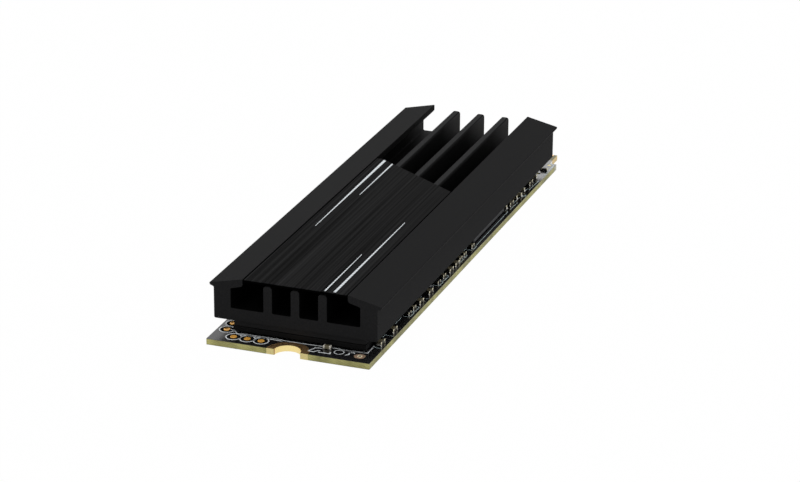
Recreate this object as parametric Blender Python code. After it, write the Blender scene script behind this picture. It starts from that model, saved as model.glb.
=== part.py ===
# Gumstick solid state drive with a finned heatsink.
# Metres, +Z up. The origin lies on the board's underside, midway along its length and width.
# +Y points to the edge connector, -Y to the half-round screw notch.

import bpy
import bmesh
import math

for old in list(bpy.data.objects):
    bpy.data.objects.remove(old, do_unlink=True)

mm = 0.001

# Board
board_length = 80.0 * mm
board_width = 22.0 * mm
board_thickness = 0.80 * mm
mask_thickness = 0.03 * mm
board_corner_radius = 0.06 * mm
film_clearance = 0.005 * mm

# Edge connector tongue
tongue_width = 19.85 * mm
tongue_length = 4.0 * mm
tongue_corner_radius = 0.30 * mm
tongue_root_radius = 0.40 * mm
tongue_bevel_length = 0.35 * mm
tongue_bevel_height = 0.15 * mm
mask_to_tip = 2.60 * mm
key_offset = 6.125 * mm
key_width = 1.20 * mm
key_depth = 3.50 * mm
finger_pitch = 0.50 * mm
finger_width = 0.35 * mm
finger_length = 2.00 * mm
finger_tip_margin = 0.25 * mm
finger_first_top = 9.25 * mm
finger_first_bottom = 9.00 * mm
finger_slots_top = 38
finger_slots_bottom = 37
key_clearance = 0.15 * mm

# Screw notch
notch_radius = 1.75 * mm
plating_thickness = 0.04 * mm
notch_land_radius = 2.80 * mm

# Pads and the drilled hole
test_pad_radius = 0.44 * mm
pad_mask_clearance = 0.04 * mm
test_pad_pitch = 1.88 * mm
test_pad_side = 3.00 * mm
test_pad_end = 1.76 * mm
side_pad_side = 1.30 * mm
side_pad_end = 3.63 * mm
side_pad_pitch = 2.04 * mm
ground_pad_radius = 0.72 * mm
ground_pad_hole_radius = 0.14 * mm
ground_pad_side = 1.95 * mm
edge_pad_radius = 0.26 * mm
edge_pad_side = 0.87 * mm
edge_pad_shoulder = 0.70 * mm
tooling_hole_radius = 0.30 * mm
tooling_hole_side = 1.28 * mm
tooling_hole_shoulder = 4.50 * mm

# Packages on the board
solder_clearance = 0.03 * mm
ball_height = 0.20 * mm
ball_inset = 0.70 * mm
package_edge = 0.06 * mm
memory_width = 18.0 * mm
memory_height = 0.80 * mm
memory_side = 1.70 * mm
memory_end = 3.30 * mm
flash_length = 12.0 * mm
cache_length = 9.40 * mm
flash_gap = 2.00 * mm
cache_gap = 1.70 * mm
controller_gap = 1.90 * mm
controller_width = 14.4 * mm
controller_length = 12.8 * mm
controller_height = 1.20 * mm
controller_side = 1.00 * mm
power_gap = 2.20 * mm
power_chip_size = 5.00 * mm
power_chip_height = 0.75 * mm
inductor_length = 2.50 * mm
inductor_width = 2.00 * mm
inductor_height = 1.00 * mm
inductor_gap = 0.90 * mm
crystal_length = 2.00 * mm
crystal_width = 1.60 * mm
crystal_height = 0.45 * mm

# Chip parts
large_chip_length = 1.50 * mm
large_chip_width = 0.80 * mm
large_chip_height = 0.50 * mm
large_chip_cap = 0.30 * mm
small_chip_length = 1.00 * mm
small_chip_width = 0.50 * mm
small_chip_height = 0.48 * mm
small_chip_cap = 0.26 * mm
chip_body_inset = 0.025 * mm
chip_edge = 0.05 * mm
large_chip_side = 0.50 * mm
small_chip_side = 0.66 * mm
connector_chip_side = 0.90 * mm
front_chip_side = 6.55 * mm
front_chip_end = 2.45 * mm
left_chip_gap = 1.30 * mm
left_chip_start = 3.00 * mm
left_chip_pitch = 5.00 * mm

# Places of the side chips: from a package's start, from its middle, or past or short of its end
flash_1_chip_place = 2.95 * mm
flash_1_chip_past_middle = 1.35 * mm
flash_1_resistor_gap = 1.17 * mm
flash_2_small_chip_place = 0.90 * mm
flash_2_chip_place = 3.15 * mm
flash_2_chip_past_middle = 0.70 * mm
flash_2_resistor_margin = 1.70 * mm
flash_2_small_chip_gap = 0.40 * mm
cache_chip_1_place = 1.05 * mm
cache_chip_2_place = 3.35 * mm
cache_small_chip_1_place = 5.20 * mm
cache_small_chip_2_place = 6.90 * mm
controller_chip_gap = 1.20 * mm

# Places of the chips past the controller, from its end, and how far out of their row they sit
end_chip_1_place = 1.40 * mm
end_chip_2_place = 3.05 * mm
end_chip_3_place = 5.55 * mm
end_chip_4_place = 6.80 * mm
end_chip_5_place = 8.90 * mm
end_chip_6_place = 11.85 * mm
end_chip_7_place = 14.45 * mm
end_resistor_place = 17.90 * mm
end_chip_1_inwards = 0.14 * mm
end_chip_2_inwards = 0.31 * mm
end_chip_4_outwards = 0.25 * mm
end_chip_6_inwards = 0.35 * mm
end_resistor_outwards = 0.50 * mm

# Thermal pads
memory_pad_thickness = 1.00 * mm
pad_clearance = 0.02 * mm

# Heatsink extrusion, heights measured from its own underside
heatsink_width = 22.1 * mm
heatsink_length = 71.2 * mm
heatsink_end = 2.70 * mm
heatsink_wall = 2.30 * mm
heatsink_floor = 1.66 * mm
channel_height = 4.32 * mm
ledge_rise = 0.41 * mm
ledge_overhang = 1.67 * mm
ledge_tip_drop = 0.78 * mm
roof_height = 5.78 * mm
roof_fall = 1.03 * mm
lip_overhang = 0.61 * mm
lip_thickness = 0.30 * mm
lip_drop = 0.50 * mm
fin_thickness = 1.16 * mm
fin_pitch = 3.70 * mm
fin_height = 5.23 * mm
fin_tip_radius = 0.35 * mm
channel_radius = 0.18 * mm
outer_radius = 0.20 * mm
roof_edge_radius = 0.08 * mm
end_break = 0.03 * mm

# Cover plate and its adhesive
adhesive_thickness = 0.21 * mm
adhesive_width = 0.80 * mm
adhesive_margin = 0.60 * mm
cover_thickness = 0.30 * mm
cover_gap = 0.15 * mm
cover_short_side = 38.7 * mm
cover_long_side = 47.3 * mm
cover_square_end = 0.88 * mm
cover_corner_radius = 0.15 * mm
cover_edge = 0.04 * mm

# Printed stripes on the cover
print_thickness = 0.015 * mm
stripe_end_margin = 0.35 * mm
stripe_slant_margin = 0.20 * mm
near_stripe_point = 0.25 * mm
far_stripe_point = 0.15 * mm

# Each stripe: where its middle lies across the cover at the blunt and the thin end, its width
# at each, and how far along the heatsink its thin end lies
stripe_1_blunt_middle = 5.207 * mm
stripe_1_thin_middle = 5.157 * mm
stripe_1_blunt_width = 0.345 * mm
stripe_1_thin_width = 0.090 * mm
stripe_1_reach = 25.80 * mm
stripe_2_blunt_middle = 3.925 * mm
stripe_2_thin_middle = 3.867 * mm
stripe_2_blunt_width = 0.206 * mm
stripe_2_thin_width = 0.080 * mm
stripe_2_reach = 13.40 * mm
stripe_3_blunt_middle = -5.600 * mm
stripe_3_thin_middle = -5.412 * mm
stripe_3_blunt_width = 0.410 * mm
stripe_3_thin_width = 0.085 * mm
stripe_3_reach = 20.40 * mm
stripe_4_blunt_middle = -4.137 * mm
stripe_4_thin_middle = -4.080 * mm
stripe_4_blunt_width = 0.235 * mm
stripe_4_thin_width = 0.090 * mm
stripe_4_reach = 33.10 * mm

# Levels and lines that follow from the sizes
near_end = -board_length / 2
tip = board_length / 2
shoulder = tip - tongue_length
half_board = board_width / 2
core_bottom = mask_thickness
core_top = board_thickness - mask_thickness
seat = board_thickness + solder_clearance
mask_end = tip - mask_to_tip
land_opening = notch_land_radius + pad_mask_clearance
core_notch_radius = notch_radius + plating_thickness + film_clearance
memory_right = half_board - memory_side
memory_left = memory_right - memory_width
memory_top = board_thickness + memory_height
flash_1_start = near_end + memory_end
flash_1_end = flash_1_start + flash_length
flash_2_start = flash_1_end + flash_gap
flash_2_end = flash_2_start + flash_length
cache_start = flash_2_end + cache_gap
cache_end = cache_start + cache_length
controller_start = cache_end + controller_gap
controller_end = controller_start + controller_length
controller_right = half_board - controller_side
controller_left = controller_right - controller_width
controller_top = board_thickness + controller_height
heatsink_bottom = memory_top + memory_pad_thickness
heatsink_start = near_end + heatsink_end
heatsink_stop = heatsink_start + heatsink_length
fin_top = heatsink_bottom + fin_height
cover_bottom = fin_top + adhesive_thickness
cover_top = cover_bottom + cover_thickness
channel_half = heatsink_width / 2 - heatsink_wall
roof_half = channel_half - ledge_overhang
cover_half = roof_half - cover_gap

assembly = bpy.data.objects.new("drive", None)
bpy.context.scene.collection.objects.link(assembly)


def look(name, colour, roughness, metallic):
    material = bpy.data.materials.new(name)
    material.use_nodes = True
    shader = material.node_tree.nodes["Principled BSDF"]
    shader.inputs["Base Color"].default_value = (*colour, 1.0)
    shader.inputs["Roughness"].default_value = roughness
    shader.inputs["Metallic"].default_value = metallic
    return material


laminate_look = look("glass_laminate", (0.34, 0.32, 0.13), 0.55, 0.0)
mask_look = look("black_solder_mask", (0.010, 0.010, 0.011), 0.30, 0.0)
gold_look = look("gold_plating", (0.83, 0.62, 0.24), 0.30, 1.0)
copper_look = look("bare_copper", (0.42, 0.24, 0.16), 0.45, 1.0)
heatsink_look = look("anodised_aluminium", (0.022, 0.022, 0.023), 0.55, 0.6)
cover_look = look("brushed_black_plate", (0.016, 0.016, 0.017), 0.40, 0.7)
adhesive_look = look("black_adhesive", (0.006, 0.006, 0.006), 0.80, 0.0)
pad_look = look("thermal_pad", (0.012, 0.012, 0.013), 0.85, 0.0)
print_look = look("white_print", (0.78, 0.82, 0.84), 0.50, 0.0)
package_look = look("moulded_package", (0.020, 0.020, 0.021), 0.60, 0.0)
controller_look = look("controller_package", (0.045, 0.045, 0.048), 0.45, 0.1)
inductor_look = look("moulded_inductor", (0.055, 0.052, 0.050), 0.60, 0.1)
can_look = look("plated_can", (0.60, 0.58, 0.54), 0.30, 1.0)
capacitor_look = look("ceramic_capacitor", (0.20, 0.13, 0.08), 0.50, 0.0)
resistor_look = look("chip_resistor", (0.05, 0.05, 0.05), 0.50, 0.0)


# Modelling helpers

def finish(name, bm, material):
    bmesh.ops.remove_doubles(bm, verts=bm.verts, dist=1e-8)
    bmesh.ops.recalc_face_normals(bm, faces=bm.faces)
    mesh = bpy.data.meshes.new(name)
    bm.to_mesh(mesh)
    bm.free()
    mesh.shade_smooth()
    mesh.set_sharp_from_angle(angle=math.radians(32))
    if material is not None:
        mesh.materials.append(material)
    item = bpy.data.objects.new(name, mesh)
    bpy.context.scene.collection.objects.link(item)
    item.parent = assembly
    return item


def rounded(corners, steps=5):
    """Closed outline through (a, b, radius) corners, each with an arc of its own radius."""
    points = []
    count = len(corners)
    for i, (a, b, radius) in enumerate(corners):
        pa, pb, _ = corners[i - 1]
        na, nb, _ = corners[(i + 1) % count]
        if radius <= 0:
            points.append((a, b))
            continue
        ua, ub = pa - a, pb - b
        va, vb = na - a, nb - b
        lu, lv = math.hypot(ua, ub), math.hypot(va, vb)
        ua, ub, va, vb = ua / lu, ub / lu, va / lv, vb / lv
        turn = math.acos(max(-1.0, min(1.0, ua * va + ub * vb)))
        reach = min(radius / math.tan(turn / 2), 0.499 * lu, 0.499 * lv)
        radius = reach * math.tan(turn / 2)
        away = radius / math.sin(turn / 2)
        ca, cb = ua + va, ub + vb
        lc = math.hypot(ca, cb)
        ca, cb = a + ca / lc * away, b + cb / lc * away
        start = math.atan2(b + ub * reach - cb, a + ua * reach - ca)
        stop = math.atan2(b + vb * reach - cb, a + va * reach - ca)
        sweep = (stop - start + math.pi) % (2 * math.pi) - math.pi
        for k in range(steps + 1):
            angle = start + sweep * k / steps
            points.append((ca + radius * math.cos(angle), cb + radius * math.sin(angle)))
    clean = []
    for point in points:
        if not clean or math.dist(point, clean[-1]) > 1e-7:
            clean.append(point)
    if math.dist(clean[0], clean[-1]) <= 1e-7:
        clean.pop()
    return clean


def inset(outline, distance):
    """The outline moved inwards by a distance; the outline runs counter-clockwise."""
    moved = []
    count = len(outline)
    for i, (a, b) in enumerate(outline):
        pa, pb = outline[i - 1]
        na, nb = outline[(i + 1) % count]
        l1, l2 = math.hypot(a - pa, b - pb), math.hypot(na - a, nb - b)
        n1 = (-(b - pb) / l1, (a - pa) / l1)
        n2 = (-(nb - b) / l2, (na - a) / l2)
        scale = distance / (1 + n1[0] * n2[0] + n1[1] * n2[1])
        moved.append((a + (n1[0] + n2[0]) * scale, b + (n1[1] + n2[1]) * scale))
    return moved


def skin(name, rings, material):
    """One closed solid through rings of equal count, capped at both ends."""
    bm = bmesh.new()
    loops = [[bm.verts.new(point) for point in ring] for ring in rings]
    count = len(loops[0])
    for first, second in zip(loops, loops[1:]):
        for i in range(count):
            j = (i + 1) % count
            bm.faces.new((first[i], first[j], second[j], second[i]))
    bm.faces.new(list(reversed(loops[0])))
    bm.faces.new(loops[-1])
    return finish(name, bm, material)


def plate(name, outline, bottom, top, material, edge=0.0):
    """An outline in plan, extruded up, with its top edge broken by a small chamfer."""
    rings = [[(x, y, bottom) for x, y in outline]]
    if edge > 0:
        rings.append([(x, y, top - edge) for x, y in outline])
        rings.append([(x, y, top) for x, y in inset(outline, edge)])
    else:
        rings.append([(x, y, top) for x, y in outline])
    return skin(name, rings, material)


def rectangle(left, right, near, far, radius=0.0):
    return rounded([(left, near, radius), (right, near, radius), (right, far, radius),
                    (left, far, radius)], 3)


def cylinders(name, places, bottom, top, sides=28):
    bm = bmesh.new()
    for x, y, radius in places:
        made = bmesh.ops.create_cone(bm, cap_ends=True, segments=sides, radius1=radius,
                                     radius2=radius, depth=top - bottom)
        bmesh.ops.translate(bm, verts=made["verts"], vec=(x, y, (top + bottom) / 2))
    return finish(name, bm, None)


def boxes(name, bounds):
    bm = bmesh.new()
    for left, right, near, far, bottom, top in bounds:
        made = bmesh.ops.create_cube(bm, size=1.0)
        bmesh.ops.scale(bm, verts=made["verts"], vec=(right - left, far - near, top - bottom))
        bmesh.ops.translate(bm, verts=made["verts"],
                            vec=((left + right) / 2, (near + far) / 2, (bottom + top) / 2))
    return finish(name, bm, None)


def combine(target, tool, operation):
    tool.hide_render = True
    tool.display_type = "WIRE"
    modifier = target.modifiers.new(tool.name, "BOOLEAN")
    modifier.operation = operation
    modifier.solver = "EXACT"
    modifier.object = tool


# Board: one outline gives the laminate and the upper solder mask film

def board_outline(notch, end, tip_radius):
    right = tongue_width / 2
    corners = [(half_board, near_end, board_corner_radius),
               (half_board, shoulder, board_corner_radius),
               (right, shoulder, tongue_root_radius if end == tip else 0.0),
               (right, end, tip_radius)]
    slot = tip - key_depth
    if slot < end:
        corner = key_width / 2 if end == tip else 0.0
        slot_bottom = slot if end == tip else None
        edge_right, edge_left = -key_offset + key_width / 2, -key_offset - key_width / 2
        corners += [(edge_right, end, 0.0)]
        if slot_bottom is not None:
            corners += [(edge_right, slot, corner), (edge_left, slot, corner)]
        else:
            centre = slot + key_width / 2
            steps = 10
            for k in range(steps + 1):
                angle = -math.pi * k / steps
                corners.append((-key_offset + key_width / 2 * math.cos(angle),
                                centre + key_width / 2 * math.sin(angle), 0.0))
        corners += [(edge_left, end, 0.0)]
    corners += [(-right, end, tip_radius),
                (-right, shoulder, tongue_root_radius if end == tip else 0.0),
                (-half_board, shoulder, board_corner_radius),
                (-half_board, near_end, board_corner_radius)]
    outline = rounded(corners, 5)
    steps = 24
    for k in range(steps + 1):
        angle = math.pi - math.pi * k / steps
        outline.append((notch * math.cos(angle), near_end + notch * math.sin(angle)))
    return outline


# The lower mask is a coat that is one with the laminate; it ends short of the fingers
# and leaves a bare ring for the notch plating.
laminate = plate("board_laminate", board_outline(core_notch_radius, tip, tongue_corner_radius),
                 0.0, core_top, laminate_look)
combine(laminate, boxes("bare_tongue_under", [(-board_width, board_width, mask_end,
                                               tip + tongue_length, -board_thickness,
                                               core_bottom)]), "DIFFERENCE")
combine(laminate, cylinders("land_recess_under", [(0.0, near_end, land_opening)],
                            -board_thickness, core_bottom, 48), "DIFFERENCE")


def fingers(first, slots, bottom, top):
    bounds = []
    keep_out = key_width / 2 + key_clearance + finger_width / 2
    for slot in range(slots):
        x = first - slot * finger_pitch
        if abs(x + key_offset) < keep_out:
            continue
        far = tip - finger_tip_margin
        bounds.append((x - finger_width / 2, x + finger_width / 2, far - finger_length, far,
                       bottom, top))
    return bounds


relief = boxes("finger_relief", fingers(finger_first_top, finger_slots_top,
                                        core_top - mask_thickness, board_thickness)
               + fingers(finger_first_bottom, finger_slots_bottom, 0.0,
                         core_bottom + mask_thickness))
combine(laminate, relief, "UNION")

bevel_profile = [(tip - tongue_bevel_length, board_thickness + tongue_bevel_height),
                 (tip - tongue_bevel_length, board_thickness),
                 (tip, board_thickness - mask_thickness - tongue_bevel_height),
                 (tip + tongue_bevel_length, board_thickness - mask_thickness - tongue_bevel_height),
                 (tip + tongue_bevel_length, board_thickness + tongue_bevel_height)]
upper_bevel = skin("tongue_bevel_upper",
                   [[(x, y, z) for y, z in bevel_profile] for x in (-half_board, half_board)], None)
lower_bevel = skin("tongue_bevel_lower",
                   [[(x, y, board_thickness - z) for y, z in bevel_profile]
                    for x in (-half_board, half_board)], None)
combine(laminate, upper_bevel, "DIFFERENCE")
combine(laminate, lower_bevel, "DIFFERENCE")

tooling_hole = (half_board - tooling_hole_side, shoulder - tooling_hole_shoulder,
                tooling_hole_radius)
drill = cylinders("tooling_drill", [tooling_hole], -board_thickness, 2 * board_thickness, 24)
combine(laminate, drill, "DIFFERENCE")

end_pads = [(-half_board + test_pad_side + i * test_pad_pitch, near_end + test_pad_end)
            for i in range(3)]
side_pads = [(-half_board + side_pad_side, near_end + side_pad_end + i * side_pad_pitch)
             for i in range(2)]
test_pads = end_pads + side_pads
ground_pad = (half_board - ground_pad_side, near_end + test_pad_end)
edge_pad = (half_board - edge_pad_side, shoulder - edge_pad_shoulder)

openings = [(x, y, test_pad_radius + pad_mask_clearance) for x, y in test_pads]
openings.append((*ground_pad, ground_pad_radius + pad_mask_clearance))
openings.append((*edge_pad, edge_pad_radius + pad_mask_clearance))
openings.append(tooling_hole)

upper_mask = plate("solder_mask_top", board_outline(land_opening, mask_end, 0.0),
                   core_top + film_clearance, board_thickness, mask_look)
combine(upper_mask, cylinders("upper_mask_openings", openings, core_top - board_thickness,
                              2 * board_thickness, 24), "DIFFERENCE")
# Screw notch plating: a channel section swept half way round the notch

plating_section = [(notch_radius, 0.0), (notch_land_radius, 0.0),
                   (notch_land_radius, core_bottom - film_clearance),
                   (notch_radius + plating_thickness, core_bottom - film_clearance),
                   (notch_radius + plating_thickness, core_top + film_clearance),
                   (notch_land_radius, core_top + film_clearance),
                   (notch_land_radius, board_thickness), (notch_radius, board_thickness)]
sweep_steps = 24
skin("notch_plating",
     [[(r * math.cos(math.pi * k / sweep_steps), near_end + r * math.sin(math.pi * k / sweep_steps), z)
       for r, z in plating_section] for k in range(sweep_steps + 1)], gold_look)


# Pads in the mask openings

def disc(name, place, radius, material, sides=24):
    x, y = place
    ring = [(x + radius * math.cos(2 * math.pi * k / sides),
             y + radius * math.sin(2 * math.pi * k / sides)) for k in range(sides)]
    return plate(name, ring, core_top + film_clearance, board_thickness, material)


for number, place in enumerate(test_pads, 1):
    disc(f"test_pad_{number}", place, test_pad_radius, gold_look)
disc("edge_pad", edge_pad, edge_pad_radius, gold_look, 16)
ground = disc("ground_pad", ground_pad, ground_pad_radius, copper_look)
combine(ground, cylinders("ground_pad_drill", [(*ground_pad, ground_pad_hole_radius)], 0.0,
                          2 * board_thickness, 12), "DIFFERENCE")


# Packages: a moulded block that stands on a lower, smaller field of solder balls

def package(name, left, right, near, far, top, material, lift=ball_height, field=ball_inset):
    outer = rectangle(left, right, near, far, package_edge)
    inner = inset(outer, field) if field > 0 else outer
    under = board_thickness + lift
    rings = []
    if field > 0:
        inner = rectangle(left + field, right - field, near + field, far - field, package_edge)
        rings.append([(x, y, seat) for x, y in inner])
        rings.append([(x, y, under) for x, y in inner])
    rings.append([(x, y, under) for x, y in outer])
    rings.append([(x, y, top - package_edge) for x, y in outer])
    rings.append([(x, y, top) for x, y in inset(outer, package_edge / 2)])
    return skin(name, rings, material)


package("flash_package_1", memory_left, memory_right, flash_1_start, flash_1_end, memory_top,
        package_look)
package("flash_package_2", memory_left, memory_right, flash_2_start, flash_2_end, memory_top,
        package_look)
package("cache_package", memory_left + 2 * ball_inset, memory_right, cache_start, cache_end,
        memory_top, package_look)
package("controller_package", controller_left, controller_right, controller_start,
        controller_end, controller_top, controller_look)

# Power section between the controller and the connector

power_start = controller_end + power_gap
power_left = -power_chip_size / 2
package("power_chip", power_left, power_left + power_chip_size, power_start,
        power_start + power_chip_size, board_thickness + power_chip_height, package_look,
        solder_clearance, 0.0)
inductor_start = power_start + power_chip_size + inductor_gap
for number in range(3):
    left = -1.5 * inductor_length - inductor_gap + number * (inductor_length + inductor_gap)
    package(f"inductor_{number + 1}", left, left + inductor_length, inductor_start,
            inductor_start + inductor_width, board_thickness + inductor_height, inductor_look,
            solder_clearance, 0.0)
crystal_left = power_left - inductor_gap - crystal_length
package("crystal_can", crystal_left, crystal_left + crystal_length, power_start,
        power_start + crystal_width, board_thickness + crystal_height, can_look,
        solder_clearance, 0.0)


# Chip parts: a ceramic body between two slightly proud metal ends

def chip(name, x, y, along, large, material):
    length = large_chip_length if large else small_chip_length
    width = large_chip_width if large else small_chip_width
    height = large_chip_height if large else small_chip_height
    cap = large_chip_cap if large else small_chip_cap
    stations = [(-length / 2, chip_edge), (-length / 2 + chip_edge, 0.0),
                (-length / 2 + cap, 0.0), (-length / 2 + cap, chip_body_inset),
                (length / 2 - cap, chip_body_inset), (length / 2 - cap, 0.0),
                (length / 2 - chip_edge, 0.0), (length / 2, chip_edge)]
    rings = []
    for station, shrink in stations:
        half = width / 2 - shrink
        low, high = seat + shrink, seat + height - shrink
        corners = [(-half, low), (half, low), (half, high), (-half, high)]
        if along == "Y":
            rings.append([(x + s, y + station, z) for s, z in corners])
        else:
            rings.append([(x + station, y + s, z) for s, z in corners])
    return skin(name, rings, material)


large_x = half_board - large_chip_side - large_chip_width / 2
small_x = half_board - small_chip_side - small_chip_width / 2
side_x = half_board - connector_chip_side - small_chip_length / 2

flash_1_middle = (flash_1_start + flash_1_end) / 2
flash_2_middle = (flash_2_start + flash_2_end) / 2
side_chips = [(large_x, flash_1_start + flash_1_chip_place, True),
              (large_x, flash_1_middle + flash_1_chip_past_middle, True),
              (small_x, flash_2_start + flash_2_small_chip_place, False),
              (large_x, flash_2_start + flash_2_chip_place, True),
              (large_x, flash_2_middle + flash_2_chip_past_middle, True),
              (small_x, flash_2_end + flash_2_small_chip_gap, False),
              (large_x, cache_start + cache_chip_1_place, True),
              (large_x, cache_start + cache_chip_2_place, True),
              (small_x, cache_start + cache_small_chip_1_place, False),
              (small_x, cache_start + cache_small_chip_2_place, False),
              (small_x, controller_start - controller_chip_gap, False)]
for number, (x, y, large) in enumerate(side_chips, 1):
    chip(f"capacitor_side_{number}", x, y, "Y", large, capacitor_look)
chip("resistor_side_1", small_x, flash_1_end + flash_1_resistor_gap, "Y", False, resistor_look)
chip("resistor_side_2", small_x, flash_2_end - flash_2_resistor_margin, "Y", False, resistor_look)

# Between the controller and the connector, along the right edge
end_chips = [(side_x - end_chip_1_inwards, end_chip_1_place, "X"),
             (large_x - end_chip_2_inwards, end_chip_2_place, "Y"),
             (side_x, end_chip_3_place, "X"),
             (side_x + end_chip_4_outwards, end_chip_4_place, "X"),
             (side_x, end_chip_5_place, "X"),
             (large_x - end_chip_6_inwards, end_chip_6_place, "Y"),
             (side_x, end_chip_7_place, "X")]
for number, (x, place, along) in enumerate(end_chips, 1):
    chip(f"capacitor_end_{number}", x, controller_end + place, along, along == "Y", capacitor_look)
chip("resistor_end_1", side_x + end_resistor_outwards, controller_end + end_resistor_place, "X",
     False, resistor_look)

# In front of the first flash package, and at the controller's left side
chip("capacitor_front", half_board - front_chip_side, near_end + front_chip_end, "X", False,
     capacitor_look)
for number in range(2):
    chip(f"capacitor_left_{number + 1}", controller_left - left_chip_gap,
         controller_start + left_chip_start + number * left_chip_pitch, "Y", True, capacitor_look)

# Thermal pads fill the space between the packages and the heatsink

plate("thermal_pad_memory", rectangle(memory_left, memory_right, flash_1_start, cache_end, package_edge),
      memory_top + pad_clearance, heatsink_bottom - pad_clearance, pad_look)
plate("thermal_pad_controller",
      rectangle(controller_left, controller_right, controller_start, controller_end, package_edge),
      controller_top + pad_clearance, heatsink_bottom - pad_clearance, pad_look)


# Heatsink: one extruded section, walls with inward ledges and drooping lips, three fins

def heatsink_half():
    """Right half of the section as (x, height, radius) corners, from the underside round
    the lip and the channel to the centre fin's top."""
    wall = heatsink_width / 2
    lip = wall + lip_overhang
    lip_top = roof_height - roof_fall
    fin = fin_thickness / 2
    side_fin_outer = fin_pitch + fin
    side_fin_inner = fin_pitch - fin
    return [(wall, 0.0, outer_radius),
            (wall, lip_top - lip_drop, outer_radius),
            (lip - lip_thickness / 3, lip_top - lip_thickness, lip_thickness / 3),
            (lip, lip_top, lip_thickness / 3),
            (roof_half, roof_height, roof_edge_radius),
            (roof_half, roof_height - ledge_tip_drop, channel_radius),
            (roof_half + channel_radius, channel_height + ledge_rise, channel_radius),
            (channel_half, channel_height, channel_radius),
            (channel_half, heatsink_floor, channel_radius),
            (side_fin_outer, heatsink_floor, channel_radius),
            (side_fin_outer, fin_height, fin_tip_radius),
            (side_fin_inner, fin_height, fin_tip_radius),
            (side_fin_inner, heatsink_floor, channel_radius),
            (fin, heatsink_floor, channel_radius),
            (fin, fin_height, fin_tip_radius)]


half = heatsink_half()
section = rounded(half + [(-x, height, radius) for x, height, radius in reversed(half)], 4)
broken = inset(section, end_break)
skin("heatsink_body",
     [[(x, y, heatsink_bottom + height) for x, height in outline]
      for outline, y in ((broken, heatsink_start), (section, heatsink_start + end_break),
                         (section, heatsink_stop - end_break), (broken, heatsink_stop))],
     heatsink_look)


# Cover plate on the fins, with one corner cut back on a slant

def cover_limit(x):
    """Where the cover's far edge lies at a place across it."""
    square = -cover_half + cover_square_end
    share = max(0.0, min(1.0, (x - square) / (cover_half - square)))
    return heatsink_start + cover_long_side + (cover_short_side - cover_long_side) * share


cover_outline = rounded([(-cover_half, heatsink_start, cover_corner_radius),
                         (cover_half, heatsink_start, cover_corner_radius),
                         (cover_half, heatsink_start + cover_short_side, cover_corner_radius),
                         (-cover_half + cover_square_end, heatsink_start + cover_long_side,
                          cover_corner_radius),
                         (-cover_half, heatsink_start + cover_long_side, cover_corner_radius)], 4)
plate("cover_plate", cover_outline, cover_bottom, cover_top, cover_look, cover_edge)

for name, x in (("left", -fin_pitch), ("centre", 0.0), ("right", fin_pitch)):
    half_strip = adhesive_width / 2
    plate(f"adhesive_strip_{name}",
          rectangle(x - half_strip, x + half_strip, heatsink_start + adhesive_margin,
                    cover_limit(x + half_strip) - adhesive_margin),
          fin_top + film_clearance, cover_bottom - film_clearance, adhesive_look)


# Stripes: printed wedges that start at the near edge or at the slanted one

def stripe(name, blunt, thin, blunt_width, thin_width, reach, point, slanted):
    """A wedge whose thin end is cut to a point of the given length."""
    blunt_left, blunt_right = blunt - blunt_width / 2, blunt + blunt_width / 2
    thin_left, thin_right = thin - thin_width / 2, thin + thin_width / 2
    end = heatsink_start + reach
    if slanted:
        outline = [(blunt_right, cover_limit(blunt_right) - stripe_slant_margin),
                   (blunt_left, cover_limit(blunt_left) - stripe_slant_margin),
                   (thin_left, end + point), (thin_right, end)]
    else:
        start = heatsink_start + stripe_end_margin
        outline = [(blunt_left, start), (blunt_right, start), (thin_right, end - point),
                   (thin_left, end)]
    plate(name, outline, cover_top + film_clearance, cover_top + film_clearance + print_thickness,
          print_look)


stripe("stripe_1", stripe_1_blunt_middle, stripe_1_thin_middle, stripe_1_blunt_width,
       stripe_1_thin_width, stripe_1_reach, near_stripe_point, False)
stripe("stripe_2", stripe_2_blunt_middle, stripe_2_thin_middle, stripe_2_blunt_width,
       stripe_2_thin_width, stripe_2_reach, near_stripe_point, False)
stripe("stripe_3", stripe_3_blunt_middle, stripe_3_thin_middle, stripe_3_blunt_width,
       stripe_3_thin_width, stripe_3_reach, far_stripe_point, True)
stripe("stripe_4", stripe_4_blunt_middle, stripe_4_thin_middle, stripe_4_blunt_width,
       stripe_4_thin_width, stripe_4_reach, far_stripe_point, True)
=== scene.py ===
# Gumstick solid state drive with a finned heatsink, dressed for the studio.
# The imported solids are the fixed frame. Finishes go on them, and fine parts are added.

import math

import bmesh
import bpy
from mathutils import Matrix, Vector


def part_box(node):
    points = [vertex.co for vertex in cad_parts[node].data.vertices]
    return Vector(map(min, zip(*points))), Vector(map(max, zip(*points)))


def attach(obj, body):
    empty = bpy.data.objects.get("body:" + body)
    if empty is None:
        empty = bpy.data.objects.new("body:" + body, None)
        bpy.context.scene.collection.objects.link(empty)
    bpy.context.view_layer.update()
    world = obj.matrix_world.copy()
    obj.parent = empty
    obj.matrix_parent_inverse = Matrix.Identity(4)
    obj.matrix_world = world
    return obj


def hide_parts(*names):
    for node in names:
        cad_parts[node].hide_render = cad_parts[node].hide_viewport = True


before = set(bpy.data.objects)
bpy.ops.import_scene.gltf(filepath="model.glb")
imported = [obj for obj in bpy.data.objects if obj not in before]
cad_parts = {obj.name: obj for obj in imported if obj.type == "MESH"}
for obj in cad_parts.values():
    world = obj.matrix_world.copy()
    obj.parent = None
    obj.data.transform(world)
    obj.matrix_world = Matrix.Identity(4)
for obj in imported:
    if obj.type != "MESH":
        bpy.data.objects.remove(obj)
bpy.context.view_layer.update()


# Camera. It stands in front of the screw end, to the right of the drive and a little above
# it, and looks along the board through a long lens.

mm = 0.001
eye = Vector((136.79, -369.72, 158.09)) * mm
right = Vector((0.93736, 0.34832, 0.00466))
up = Vector((-0.13321, 0.34608, 0.92870))
back = Vector((0.32187, -0.87115, 0.37080))

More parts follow.
